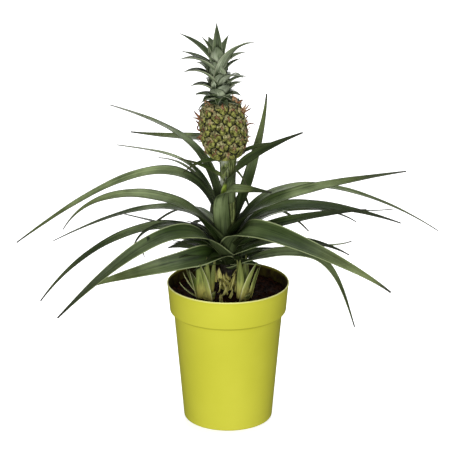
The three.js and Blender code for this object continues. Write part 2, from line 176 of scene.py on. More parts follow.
studio = bpy.context.scene.world = bpy.data.worlds.new("studio")
studio.use_nodes = True
background = studio.node_tree.nodes["Background"].inputs
background["Color"].default_value = (1, 1, 1, 1)
background["Strength"].default_value = 0.2
bpy.context.scene.view_settings.view_transform = "Standard"


# The pot: one thin injection-moulded shell of satin lime plastic, with a deep collar that ends in
# a flat ledge, a fine round lip, a tapered body and drain holes through its floor.

POT = {
    "height": 165, "rim": 70, "band_foot": 66.8, "ledge": 131.6, "body_top": 62.6, "base": 51.2,
    "wall": 1.6, "floor": 3, "drains": 5, "drain_radius": 4, "drain_circle": 30, "foot_round": 2.4,
    "edge_round": 0.8, "around": 160,
}


def softened(corners, radius, steps=4):
    """The outline with each inner corner rounded."""
    corners = [np.array(corner, float) for corner in corners]
    outline = [corners[0]]
    for before, corner, after in zip(corners, corners[1:], corners[2:]):
        arms = []
        for other in (before, after):
            reach = np.linalg.norm(other - corner)
            arms.append(corner + (other - corner) * min(radius / reach, 0.45))
        for t in np.linspace(0, 1, steps + 1):
            outline.append((1 - t) ** 2 * arms[0] + 2 * t * (1 - t) * corner + t**2 * arms[1])
    return outline + [corners[-1]]


def spun(outline, around):
    """An outline of (radius, height) turned about Z. It starts and ends on the axis."""
    turn = np.arange(around) * 2 * pi / around
    rings = np.array(outline[1:-1])
    points = np.zeros((len(rings), around, 3))
    points[..., 0] = rings[:, :1] * np.cos(turn)
    points[..., 1] = rings[:, :1] * np.sin(turn)
    points[..., 2] = rings[:, 1:]
    points = points.reshape(-1, 3)
    ends = [[0, 0, outline[0][1]], [0, 0, outline[-1][1]]]
    faces = []
    for i in range(around):
        j = (i + 1) % around
        last = (len(rings) - 1) * around
        faces.append((len(points), j, i))
        faces.append((len(points) + 1, last + i, last + j))
        for ring in range(len(rings) - 1):
            low = ring * around
            faces.append((low + i, low + j, low + around + j, low + around + i))
    return {"points": np.vstack([points, ends]), "faces": faces}


def add_piece(name, part, material, nodes, smooth=True):
    """A piece from a part's points, its faces and the traits that its paint reads."""
    mesh = bpy.data.meshes.new(name)
    mesh.from_pydata((part["points"] * MM).tolist(), [], part["faces"])
    for trait, values in part.get("traits", {}).items():
        layer = mesh.attributes.new(trait, "FLOAT_VECTOR", "POINT")
        layer.data.foreach_set("vector", np.asarray(values, np.float32).ravel())
    mesh.materials.append(material)
    mesh.polygons.foreach_set("use_smooth", [smooth] * len(mesh.polygons))
    piece = bpy.data.objects.new(name, mesh)
    link(piece)
    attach(piece, "root")
    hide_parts(*nodes)
    return piece


def spot(turn, reach, height=0):
    """A point at a turn about the upright axis, in radians."""
    return [cos(turn) * reach, sin(turn) * reach, height]


def body_radius(height):
    return POT["base"] + (POT["body_top"] - POT["base"]) * height / POT["ledge"]


def pot_outline():
    ledge, wall, rim, height = POT["ledge"], POT["wall"], POT["rim"], POT["height"]
    band, floor_top = POT["band_foot"], POT["floor"]
    foot = softened([(0, 0), (POT["base"], 0), (body_radius(40), 40)], POT["foot_round"], 8)
    shell = softened([
        (body_radius(41), 41), (body_radius(ledge), ledge), (band, ledge),
        (rim - 0.5, height - 2.6), (rim, height - 2.2), (rim, height),
        (rim - wall, height), (rim - wall - 0.3, height - 3), (band - wall, ledge + wall),
        (body_radius(ledge) - wall, ledge + wall),
        (body_radius(floor_top) - wall, floor_top), (0, floor_top),
    ], POT["edge_round"])
    return foot[:-1] + shell


def paint_pot(shade):
    """Satin plastic, with scuffs at the foot, painted shade and a dusting of soil over the inside of the
    collar, a painted highlight along the rim and a painted shadow line under the ledge.
    """
    rim, ledge = POT["height"] * MM, POT["ledge"] * MM
    place = shade.place()
    cloud = place.noise(14, 3)
    grain = place.noise(2600, 1)
    lime = cloud.step(0.3, 0.7).mix((0.635, 0.625, 0.05), (0.675, 0.66, 0.06))
    height = place.part("Z")
    scuffs = place.noise(240, 4).step(0.62, 0.72) * height.step(0.006, 0)
    scuffed = (scuffs * 0.5).mix(lime, (0.75, 0.74, 0.3))
    radius = shade.node("VectorMath", {"operation": "LENGTH"}, {0: place.scaled((1, 1, 0))}, "Value")
    slant = (POT["rim"] - POT["band_foot"]) / (POT["height"] - POT["ledge"])
    outside = (height - ledge) * slant + POT["band_foot"] * MM
    # Painted shade with peat dust: inside the collar the plastic is darkened, to near black below a dim band
    # under the rim.
    inside = (outside - radius).step(0.0008, 0.0013) * height.step(ledge + 0.0002, ledge + 0.0014)
    patches = 0.8 + place.noise(160, 5).step(0.3, 0.7) * 0.2
    dust_and_shade = height.step(rim - 0.0007, rim - 0.0032) * patches
    stained_and_shaded = dust_and_shade.mix((0.15, 0.14, 0.012), (0.011, 0.0045, 0.0014))
    # A painted highlight: a pale line along the top of the lip.
    lip_highlight = (height.step(rim - 0.0018, rim - 0.0005) * 0.7).mix(scuffed, (0.84, 0.84, 0.36))
    # A painted shadow: a thin dark line just under the ledge.
    corner = height.step(ledge - 0.004, ledge - 0.0017) * height.step(ledge - 0.0008, ledge - 0.0012)
    ledge_shadowed = (corner * 0.55).mix(lip_highlight, (0.3, 0.29, 0.01))
    colour = inside.mix(ledge_shadowed, stained_and_shaded)
    gloss = cloud * 0.1 + grain * 0.06 + 0.48
    return shade.surface(colour, gloss, grain, 0.00003, 0.14)


plastic = finish("lime_plastic", paint_pot)
pot = add_piece("lime_pot", spun(pot_outline(), POT["around"]), plastic, ["pot"])
punches = []
for turn in np.arange(POT["drains"]) * 2 * pi / POT["drains"]:
    place = spot(turn, POT["drain_circle"] * MM)
    radius = POT["drain_radius"] * MM
    bpy.ops.mesh.primitive_cylinder_add(vertices=32, radius=radius, depth=0.02, location=place)
    punches.append(bpy.context.object)
    cut = pot.modifiers.new("drain", "BOOLEAN")
    cut.operation, cut.solver, cut.object = "DIFFERENCE", "EXACT", punches[-1]
bpy.context.view_layer.update()
cut_mesh = bpy.data.meshes.new_from_object(pot.evaluated_get(bpy.context.evaluated_depsgraph_get()))
pot.modifiers.clear()
pot.data = cut_mesh
for punch in punches:
    bpy.data.objects.remove(punch)


# The soil: dark, moist peat, painted darker still as shade, that fills the pot to a finger's width
# under the rim, its top lumpy and strewn with loose crumbs and a few chips of bark.

SOIL = {
    "top": 153.5, "edge_drop": 2.2, "lump": 2.6, "crumb": 0.9, "around": 200, "crumbs": 620, "gap": 0.2,
    "rim_gap": 0.15,
}


def soil_radius(height):
    share = (height - POT["ledge"]) / (POT["height"] - POT["ledge"])
    return POT["band_foot"] + (POT["rim"] - POT["band_foot"]) * share - POT["wall"] - SOIL["rim_gap"]


def soil_height(x, y):
    reach = hypot(x, y) / soil_radius(SOIL["top"])
    lump = noise.noise(Vector((x, y, 0)) * 0.07) * SOIL["lump"]
    crumb = noise.fractal(Vector((x, y, 40)) * 0.32, 0.6, 2.1, 4) * SOIL["crumb"]
    return SOIL["top"] + lump + crumb - SOIL["edge_drop"] * reach**6


def paint_soil(shade):
    place = shade.place()
    clod = place.noise(240, 6)
    fibre = place.noise(1500, 3)
    # Dark moist peat, painted darker still as the shade under the leaves.
    peat_and_shade = clod.step(0.35, 0.68).mix((0.004, 0.0012, 0.0004), (0.034, 0.01, 0.0035))
    bits = fibre.step(0.64, 0.72) * clod.step(0.5, 0.6)
    colour = bits.mix(peat_and_shade, (0.13, 0.05, 0.02))
    return shade.surface(colour, 0.9, clod + fibre * 0.4, 0.0012, 0.05)


soil_finish = finish("moist_peat", paint_soil)
edge = SOIL["top"] - SOIL["edge_drop"]
gap, shelf = SOIL["gap"], POT["ledge"] + POT["wall"] + SOIL["gap"] / 2
soil_outline = [
    (0, POT["floor"] + gap), (body_radius(POT["floor"]) - POT["wall"] - gap, POT["floor"] + gap),
    (body_radius(POT["ledge"]) - POT["wall"] - gap, shelf),
    (POT["band_foot"] - POT["wall"] - gap, shelf), (soil_radius(edge), edge),
]
soil_outline += [(radius, SOIL["top"]) for radius in np.linspace(soil_radius(edge) - 0.8, 0.8, 62)]
soil = spun([*soil_outline, (0, SOIL["top"])], SOIL["around"])
for point in soil["points"]:
    if point[2] > edge - 0.5:
        point[2] = soil_height(*point[:2])
add_piece("potting_soil", soil, soil_finish, ["soil"])


def gathered(parts):
    """One part from several."""
    points, faces, traits, start = [], [], {}, 0
    for part in parts:
        points.append(part["points"])
        faces += [tuple(start + corner for corner in face) for face in part["faces"]]
        for trait, values in part.get("traits", {}).items():
            traits.setdefault(trait, []).append(values)
        start += len(part["points"])
    traits = {trait: np.vstack(values) for trait, values in traits.items()}
    return {"points": np.vstack(points), "faces": faces, "traits": traits}


def crumb(random, radius, flatness):
    """A lump with eight corners and six sides, turned at random."""
    corners = np.array(list(np.ndindex(2, 2, 2))) * 2.0 - 1
    corners = corners * radius * 0.6 * random.uniform(0.6, 1.2, (8, 3)) * [1, 1, flatness]
    turn = random.uniform(0, 2 * pi)
    spin = np.array([[cos(turn), -sin(turn), 0], [sin(turn), cos(turn), 0], [0, 0, 1]])
    faces = [(0, 1, 3, 2), (4, 6, 7, 5), (0, 4, 5, 1), (2, 3, 7, 6), (0, 2, 6, 4), (1, 5, 7, 3)]
    return {"points": corners @ spin.T, "faces": faces}


random = np.random.default_rng(5)
crumbs = []
for _ in range(SOIL["crumbs"]):
    reach = soil_radius(SOIL["top"]) * 0.96 * sqrt(random.uniform(0.01, 1))
    x, y, _ = spot(random.uniform(0, 2 * pi), reach)
    size = random.uniform(0.5, 1) + random.random() ** 6 * 1.6
    lump = crumb(random, size, random.uniform(0.4, 0.9))
    lump["points"] += [x, y, soil_height(x, y) + size * 0.2]
    crumbs.append(lump)
add_piece("soil_crumbs", gathered(crumbs), soil_finish, ["soil"], smooth=False)


# The stem: a short fibrous trunk, dark where the leaf bases have rotted away and painted darker
# still as the shade under the leaves, that runs on as a ribbed green fruit stalk and grew in one
# piece. Dry stubs and scraps of old leaves stand round its foot, and thin bracts on the stalk.

STEM = {
    "foot": 112, "radius": 8, "stalk": 262, "stalk_radius": 8.6, "top": 313, "around": 96,
    "trunk_top": 205, "ribs": 17,
}
stem_outline = [(0, STEM["foot"])]
for height in [*np.arange(STEM["foot"], STEM["top"], 1.6), STEM["top"]]:
    widening = np.clip((height - STEM["stalk"]) / 16, 0, 1) * (STEM["stalk_radius"] - STEM["radius"])
    collar = np.clip((height - STEM["top"] + 8) / 8, 0, 1) * 1.4
    stem_outline.append((STEM["radius"] + widening + collar, height))
stem = spun([*stem_outline, (0, STEM["top"])], STEM["around"])
for point in stem["points"][:-2]:
    turn = atan2(point[1], point[0])
    ribs = 0.22 * sin(STEM["ribs"] * turn + 0.8 * sin(point[2] * 0.05))
    scars = 0.55 * (sin(point[2] * 1.1 + sin(2 * turn)) ** 3) * (point[2] < STEM["trunk_top"])
    rough = 0.5 * noise.noise(Vector(point) * 0.16)
    point[:2] *= 1 + (ribs + scars + rough) / STEM["radius"]


def paint_stem(shade):
    place = shade.place()
    height = place.part("Z")
    mottle = place.noise(110, 4)
    fibre = place.scaled((700, 700, 60)).noise(1, 3)
    green = fibre.step(0.4, 0.6).mix((0.05, 0.065, 0.016), (0.2, 0.24, 0.08))
    # Grey scurf, mottled, on the left side of the stalk.
    pallor = mottle.step(0.4, 0.58) * place.part("X").step(0.002, -0.005)
    worn = (pallor * 0.9).mix(green, (0.42, 0.45, 0.35))
    specks = place.noise(900, 2).step(0.6, 0.68)
    worn = (specks * 0.7).mix(worn, (0.03, 0.026, 0.012))
    # Painted shade: the bark is painted near black for the shade under the leaves, over its rotted brown.
    bark_and_shade = fibre.step(0.35, 0.7).mix((0.003, 0.002, 0.001), (0.014, 0.01, 0.005))
    colour = (height + mottle * 0.03).step(0.2, 0.245).mix(bark_and_shade, worn)
    return shade.surface(colour, 0.62, fibre + mottle * 0.5, 0.0006, 0.2)


add_piece("trunk_and_stalk", stem, finish("stem_fibre", paint_stem), ["stem"])

BLADE = {"mid": 0.95, "edge": 0.45, "power": 1.3}


def blade(centre, across, normal, width, gutter, cells, tone):
    """A closed, thin, gutter-shaped blade. Its form trait is the share of the length, the place
    from one margin at -1 to the other at 1, and the side of the blade, 1 on the upper face. Its
    tone is how pale it is, its warmth (a pale margin past 0.5, past 1 a bright yellow-green foot,
    partly young colour and partly painted light) and a seed."""
    rings, side = len(centre), cells + 1
    place = 1 - 2 * np.arange(side) / cells
    angle = place[None, :] * gutter[:, None] / 2
    radius = width / gutter
    swell = BLADE["edge"] + (BLADE["mid"] - BLADE["edge"]) * (1 - place**2)
    points = np.zeros((rings, 2, side, 3))
    form = np.zeros((rings, 2, side, 3))
    for layer, facing in enumerate((1, -1)):
        depth = radius[:, None] - facing * swell[None, :] / 2
        points[:, layer] = centre[:, None] + across[:, None] * (depth * np.sin(angle))[..., None]
        lift = radius[:, None] - depth * np.cos(angle)
        points[:, layer] += normal[:, None] * lift[..., None]
        form[:, layer, :, 0] = np.linspace(0, 1, rings)[:, None]
        form[:, layer, :, 1] = place
        form[:, layer, :, 2] = layer == 0
    at = np.arange(rings * 2 * side).reshape(rings, 2, side)
    low, high = at[:-1], at[1:]
    quads = [
        [low[:, 0, :-1], low[:, 0, 1:], high[:, 0, 1:], high[:, 0, :-1]],
        [low[:, 1, :-1], high[:, 1, :-1], high[:, 1, 1:], low[:, 1, 1:]],
        [low[:, 0, 0], high[:, 0, 0], high[:, 1, 0], low[:, 1, 0]],
        [low[:, 0, -1], low[:, 1, -1], high[:, 1, -1], high[:, 0, -1]],
        [at[0, 0, :-1], at[0, 1, :-1], at[0, 1, 1:], at[0, 0, 1:]],
        [at[-1, 0, :-1], at[-1, 0, 1:], at[-1, 1, 1:], at[-1, 1, :-1]],
    ]
    faces = np.concatenate([np.stack(quad, -1).reshape(-1, 4) for quad in quads]).tolist()
    count = rings * 2 * side
    traits = {"form": form.reshape(-1, 3), "tone": np.tile(np.array(tone, float), (count, 1))}
    return {"points": points.reshape(-1, 3), "faces": faces, "traits": traits}


def blade_frame(heading, elevation, roll):
    """Unit vectors across the blades and out of their upper faces."""
    heading, elevation, roll = np.broadcast_arrays(heading, elevation, roll)
    zero = np.zeros(heading.shape)
    across = np.stack([-np.sin(heading), np.cos(heading), zero], -1)
    rise = np.sin(elevation)
    normal = np.stack([-np.cos(heading) * rise, -np.sin(heading) * rise, np.cos(elevation)], -1)
    cosine, sine = np.cos(roll)[:, None], np.sin(roll)[:, None]
    return across * cosine - normal * sine, normal * cosine + across * sine


def taper(share, width, fullness, tip=0.5):
    return width * np.clip(1 - share**fullness, 0, 1) ** BLADE["power"] + tip


def curl(foot, row, tone, fullness=2.4, lag=1 / 6, rings=12, cells=4, gutter=58, wave=0):
    """A short blade from its foot, by azimuth, length, elevation at the foot and the tip, width, roll."""
    azimuth, length, start, end, width, roll = (*row, 0)[:6]
    share = np.linspace(0, 1, rings + 1)
    elevation = np.radians(start + (end - start) * np.clip(share - lag, 0, 1))
    heading = radians(azimuth) + wave * np.sin(share * 5)
    middle = (elevation[1:] + elevation[:-1]) / 2
    turn = (heading[1:] + heading[:-1]) / 2
    level = np.cos(middle)
    steps = np.stack([level * np.cos(turn), level * np.sin(turn), np.sin(middle)], -1) * length / rings
    walked = np.vstack([[0, 0, 0], np.cumsum(steps, 0)])
    across, normal = blade_frame(heading, elevation, radians(roll))
    bend = np.full(rings + 1, radians(gutter))
    return blade(walked + foot, across, normal, taper(share, width, fullness), bend, cells, tone)


# Rows of azimuth, height, and the rest of what a curl takes.
STALK_BRACTS = [
    [-34, 303, 28, -34, -66, 4], [-110, 304, 13, -10, -60, 6], [120, 302, 30, 10, -35, 5],
    [50, 303, 34, 5, -30, 5],
]
LONG_BRACTS = [
    [188, 312, 48, 0, -52, 5, 50], [-8, 316, 58, 28, -2, 5.5, -45], [176, 318, 24, 8, -40, 4, 50],
    [196, 292, 58, 34, 10, 5, 50],
]
OLD_STUBS = [
    [-112, 157, 25, 66, 78, 9], [-84, 158, 19, 70, 10, 8], [-62, 157, 25, 62, 84, 9],
    [-98, 172, 12, 20, -60, 7], [70, 158, 24, 66, 50, 9], [150, 158, 22, 64, 30, 9],
    [-100, 153, 30, 76, 92, 6], [-76, 154, 22, 80, 96, 5], [-124, 160, 16, 50, -10, 5],
    [-90, 165, 16, 40, 100, 5], [-50, 164, 15, 30, -50, 5], [-140, 156, 26, 74, 84, 6],
    [-20, 156, 22, 66, 40, 7], [20, 156, 24, 70, 60, 7], [110, 157, 24, 66, 50, 8],
    [185, 156, 24, 70, 66, 7],
]


def stem_blades(rows, tones, root):
    """Blades round the stem, their feet at the given distance from its middle."""
    random = np.random.default_rng(3)
    parts = []
    for azimuth, height, *form in rows:
        foot = spot(radians(azimuth), root, height)
        tone = [random.uniform(*tones), random.random(), random.random()]
        parts.append(curl(foot, [azimuth, *form], tone))
    return gathered(parts)


def paint_leaf(shade, hues):
    """The colours of a blade from its foot to its dry tip, its margins and its fine stripes."""
    form, tone = shade.trait("form"), shade.trait("tone")
    share, side, face = form.part("X"), form.part("Y"), form.part("Z")
    light, warmth, seed = tone.part("X"), tone.part("Y"), tone.part("Z")
    band = shade.joined(share * 2.5 + seed * 40, side * 2.6 + seed * 9, seed * 90).noise(1.2, 3)
    stripe = shade.joined(share * 3, side * 17 + seed * 60, face * 7).noise(1, 3)
    cloud = shade.place().noise(30, 3)
    ends = 0.5 - hues["soft"], 0.5 + hues["soft"]
    upper = (band * 0.55 + stripe * 0.45).step(*ends).mix(hues["dark"], hues["mid"])
    under = (stripe * 0.7 + band * 0.3).step(*ends).mix(hues["under"], hues["bloom"])
    sides = face.mix(under, upper)
    # Painted light: pale patches where a blade's paleness is high, over its bloom.
    bloom_and_light = (cloud * 0.5 + band * 0.3 + stripe * 0.3).step(0.38, 0.74) * light
    shaded = bloom_and_light.mix(sides, hues["light"])
    # Painted sheen: one half of each blade, across its width, is painted towards the bloom colour.
    sheen_half = (side + (band - 0.5) * 1.6).step(-0.3, 1.1) * 0.4
    sheen = sheen_half.mix(shaded, hues["bloom"])
    # The outer part turns to the dark tip colour on dim blades: on the leaves this is painted shade.
    outer_tone_and_shade = light.step(0.3, 0.8).mix(hues["tip"], hues["outer"])
    grown = (share.step(hues["turn"], 1) * (0.3 + band * 0.6)).mix(sheen, outer_tone_and_shade)
    # Near its foot a blade takes its foot colour: its own base colour on bracts and shoots, painted shade on
    # leaves and crown, less of it on pale leaves by lift.
    foot_tint_and_shade = hues["shade"] - light * hues["lift"]
    foot = (share.step(hues["depth"], 0.05) * foot_tint_and_shade).mix(grown, hues["foot"])
    fresh_and_lit = ((warmth - share).step(1, 1.2) * 0.8).mix(foot, (0.4, 0.54, 0.07))
    margin = abs(side).step(0.86, 0.96) * share.step(1, 0.85)
    line = warmth.step(0.5, 0.56).mix(hues["rind"], hues["margin"])
    edged = (margin * hues["edge"]).mix(fresh_and_lit, line)
    dry = (share + (band - 0.5) * 0.04).step(hues["dry"], 0.995)
    colour = dry.mix(edged, hues["tip"])
    gloss = hues["gloss"] - face * 0.1 + band * 0.12
    return shade.surface(colour, gloss, stripe + band * 0.6, hues["relief"], 0.2)


# A blade's colours by place. The outer colour sets in at turn and the tip's at dry, as shares of the
# length, and the foot's ends at depth. The foot's colour is the blade's own base colour on the bracts,
# stubs, shoots and florets, and painted shade on the leaves and the crown; shade is how strongly it is
# laid on. Rind is a dark margin, lift frees a pale leaf of the foot's painted shade.
BRACT_HUES = {
    "dark": (0.03, 0.05, 0.012), "mid": (0.1, 0.14, 0.04), "under": (0.08, 0.11, 0.035),
    "bloom": (0.2, 0.23, 0.1), "light": (0.22, 0.25, 0.11), "outer": (0.09, 0.1, 0.04),
    "foot": (0.24, 0.29, 0.1), "margin": (0.4, 0.42, 0.24), "tip": (0.04, 0.025, 0.015),
    "rind": (0.05, 0.05, 0.02), "turn": 0.4, "dry": 0.86, "depth": 0.25, "edge": 0.7, "shade": 0.5,
    "lift": 0, "soft": 0.1, "relief": 0.0002, "gloss": 0.5,
}
LONG_HUES = BRACT_HUES | {
    "mid": (0.035, 0.06, 0.01), "under": (0.015, 0.026, 0.005), "bloom": (0.07, 0.095, 0.03),
    "outer": (0.03, 0.04, 0.01),
}
STUB_HUES = BRACT_HUES | {
    "dark": (0.07, 0.055, 0.01), "mid": (0.34, 0.3, 0.06), "under": (0.14, 0.12, 0.02),
    "bloom": (0.46, 0.43, 0.1), "light": (0.66, 0.63, 0.22), "outer": (0.08, 0.05, 0.012),
    "foot": (0.34, 0.36, 0.06), "margin": (0.5, 0.46, 0.18), "tip": (0.02, 0.01, 0.006),
    "rind": (0.02, 0.012, 0.005), "turn": 0.5, "dry": 0.8, "depth": 0.2, "edge": 0.6, "shade": 0.3,
    "relief": 0.0005, "gloss": 0.6,
}
# Rows of x, y, z, what a curl takes, and how pale the scrap is.
SCRAPS = [
    [-9, -15, 174, 100, 14, 60, 120, 5, 20, 0.9], [-10, -17, 158, -60, 17, 70, 110, 5, -30, 1],
    [-6, -22, 154, -30, 16, 60, 100, 5.5, 30, 1.1], [-8, -40, 151.5, 100, 14, 84, 92, 5, 0, 1.2],
    [4, -16, 160, -20, 24, 76, 84, 5, 20, 0.6], [8, -17, 158, 0, 22, 72, 92, 4, -20, 0.4],
    [-1, -20, 156, 180, 18, 80, 60, 5, 20, 1.1], [2, -24, 153, 30, 14, 50, 110, 4, 0, 0.8],
    [-14, -16, 170, 60, 16, 80, 100, 3.5, 0, 0.3], [0, -18, 170, 160, 13, 40, 120, 4, 10, 0.9],
    [-4, -28, 152, 200, 12, 30, 90, 3.5, 0, 0.7], [6, -12, 176, -40, 14, 70, 30, 4, 0, 0.5],
]
bracts = stem_blades(STALK_BRACTS, (0.2, 0.9), 6.5)
add_piece("stalk_bracts", bracts, finish("bract", paint_leaf, BRACT_HUES), ["stem"])
bracts = stem_blades(LONG_BRACTS, (0, 0.1), 6.5)
add_piece("long_bracts", bracts, finish("long_bract", paint_leaf, LONG_HUES), ["stem"])
dry_parts = []
for x, y, z, *row, light in SCRAPS:
    seed = z % 1 + x / 50
    dry_parts.append(curl([x, y, z], row, [light, light, seed], wave=0.4, gutter=70))
dry_parts.append(stem_blades(OLD_STUBS, (0, 0.7), 7.2))
add_piece("old_leaf_stubs", gathered(dry_parts), finish("dry_stub", paint_leaf, STUB_HUES), ["stem"])


# Side shoots: two young offsets that stand in the soil at the foot of the stem. Each is a fat pale
# sheath that splits into stiff blades, which push up under the big leaves.

# The blades darken towards their tops, partly their own green and partly painted shade from the big leaves
# above; the yellow foot is their own.
SHOOT_HUES = BRACT_HUES | {
    "dark": (0.02, 0.034, 0.004), "mid": (0.19, 0.26, 0.035), "under": (0.04, 0.06, 0.008),
    "bloom": (0.3, 0.36, 0.08), "light": (0.5, 0.54, 0.16), "outer": (0.045, 0.085, 0.014),
    "foot": (0.6, 0.53, 0.14), "margin": (0.62, 0.62, 0.34), "tip": (0.06, 0.05, 0.025),
    "rind": (0.04, 0.045, 0.01), "turn": 0.3, "dry": 0.97, "depth": 0.5, "shade": 0.75, "soft": 0.07,
    "relief": 0.0004,
}
# The pale core of a shoot, by share of its radius and height. Then the place and radius of each, and
# its blades: x and y from its middle, what a curl takes, how pale it is and how pale its margin is.
CORE = [(0, 139.5), (1, 139.5), (1, 158), (0.5, 164.5), (0, 165.5)]
CORE_SPAN = 80
SHEATH_FOOT = 152.5
SHOOTS = {
    "shoot_left": ([-23, -24], 6.4, [
        [0, -6, -150, 48, 80, 72, 20, 20, 0.95, 0.8], [-8, 0, 180, 50, 86, 84, 10, 80, 0.6, 0.2],
        [-1, -2, -90, 52, 87, 89, 11, 0, 0.55, 0.2], [4, 3, 10, 50, 84, 86, 10, 60, 0.2, 0.3],
        [0, 4, 110, 48, 80, 76, 14, 0, 0.15, 0.5], [6, -6, -40, 13, 80, 60, 10, 0, 0.5, 0.9],
        [-6, -1, 176, 34, 22, 66, 3.5, 0, 0.6, 0.9], [-6, 2, 160, 38, 38, 74, 3, 0, 0.5, 0.9],
        [-12, 4, 150, 34, 74, 66, 12, 0, 0.05, 0.6], [-9, 5, 165, 40, 60, 72, 8, 20, 0.2, 0.4],
    ]),
    "shoot_right": ([18, -24], 6, [
        [1, -5, -40, 54, 74, 64, 19, -20, 0.95, 0.75], [-4, -3, -100, 50, 86, 88, 11, 0, 0.6, 0.2],
        [-4, 1, 175, 48, 86, 84, 11, -60, 0.2, 0.7], [1, 4, 80, 50, 80, 74, 13, 0, 0.15, 0.3],
        [6, -2, 0, 40, 78, 70, 4, 40, 0.8, 0.9], [8, 0, 10, 42, 76, 72, 4, 0, 0.3, 0.1],
        [3, -7, -60, 14, 60, 40, 9, 0, 0.4, 0.95],
    ]),
}
shoot_finish = finish("young_sheath", paint_leaf, SHOOT_HUES)
random = np.random.default_rng(8)
for node, ((x, y), radius, blades) in SHOOTS.items():
    core = spun(softened([(out * radius, up) for out, up in CORE], 3), 40)
    share = (core["points"][:, 2] - CORE[0][1]) / CORE_SPAN
    form = np.stack([share, np.sin(np.arange(len(share))), np.zeros(len(share))], -1)
    core["traits"] = {"form": form, "tone": np.tile([0.1, 0.2, 0.3], (len(share), 1))}
    core["points"] += [x, y, 0]
    parts = [core]
    for aside, towards, *row, light, warmth in blades:
        foot = [x + aside, y + towards, SHEATH_FOOT]
        tone = [light, warmth, random.random()]
        parts.append(curl(foot, row, tone, fullness=3.4, gutter=110, cells=8))
    add_piece(node + "_sheaths", gathered(parts), shoot_finish, [node])


# The leaves: long leathery gutters that clasp the stem and arch outwards, dark and smooth above,
# grey with fine pale stripes below, with thin pale margins and dry brown tips.

# Rows of azimuth, height and rise at the foot, distance and height of the middle and of the tip, the
# slope there and the width. Then how far the blade swings aside, its roll, and how late it swings.
LEAVES = [
    [-60, 182, 38, 74, 207, 95, 119, -83, 17, 112, -38], [25, 186, 52, 80, 193, 160, 190, 14, 10],
    [146, 187, 75, 36, 202, 84, 189, -26, 20, 0, 40],
    [240, 188, 75, 62, 199, 108, 168, -83, 24, -121, 70],
    [10, 190, 56, 72, 211, 142, 188, -34, 14, 0, -20], [76, 191, 60, 75, 212, 165, 152, -42, 15],
    [46, 194, 60, 65, 217, 120, 184, -45, 12], [241, 195, 52, 71, 243, 177, 158, -59, 19, -117, 48],
    [165, 195, 62, 62, 224, 126, 236, 10, 8], [112, 197, 60, 72, 216, 160, 165, -38, 15],
    [183, 199, 66, 95, 231, 215, 145, -54, 15, 0, 24],
    [-71, 201, 73, 79, 241, 153, 189, -57, 25, 136, -51],
    [35, 201, 66, 100, 232, 244, 206, -5, 12, 0, 12], [128, 204, 66, 80, 232, 160, 182, -42, 12],
    [198, 204, 68, 62, 241, 111, 220, -72, 10, 0, 15], [-40, 206, 66, 62, 245, 150, 268, 5, 17, 60, -32],
    [160, 207, 70, 95, 243, 219, 188, -30, 12, 0, 15], [58, 207, 66, 85, 230, 185, 172, -40, 13],
    [12, 208, 68, 80, 248, 151, 226, -38, 10, 0, -10],
    [-126, 207, 78, 18, 262, 38, 298, 39, 22, 86, -10, 4], [97, 210, 66, 85, 238, 190, 168, -45, 13],
    [-20, 212, 70, 82, 262, 184, 235, -28, 17, 68, -28],
    [199, 213, 69, 87, 273, 177, 227, -64, 19, -63, 24],
    [20, 216, 74, 118, 266, 265, 195, -36, 13, 0, -12], [-40, 220, 74, 66, 276, 176, 309, 9, 20, 97, -28],
    [150, 220, 78, 48, 290, 92, 299, -6, 8], [172, 224, 80, 100, 290, 247, 200, -38, 15, 0, 28],
    [55, 224, 80, 26, 262, 43, 241, -66, 7], [165, 231, 80, 50, 304, 131, 318, 4, 10],
    [20, 231, 77, 30, 302, 46, 383, 88, 16, 0, -28], [146, 238, 82, 47, 318, 165, 349, 6, 15],
    [88, 247, 84, 66, 313, 190, 287, -8, 13, 125, 35], [-94, 262, 85, 17, 293, 76, 366, 50, 13, 86, -20],
]
# The leaves that turn aside along their true length: width, a later roll, and where that begins.
TURNED = {1: (13, 0, 0), 20: (20, -35, 0.42), 32: (15, 0, 0), 33: (13, -45, 0.12)}
LEAF = {
    "foot": 8.8, "fullness": 2.4, "flare": 0.35, "flare_share": 0.08, "gutter": 58, "rings": 56,
    "cells": 10, "tip": 2,
}


def cross(a, b):
    return a[0] * b[1] - a[1] * b[0]


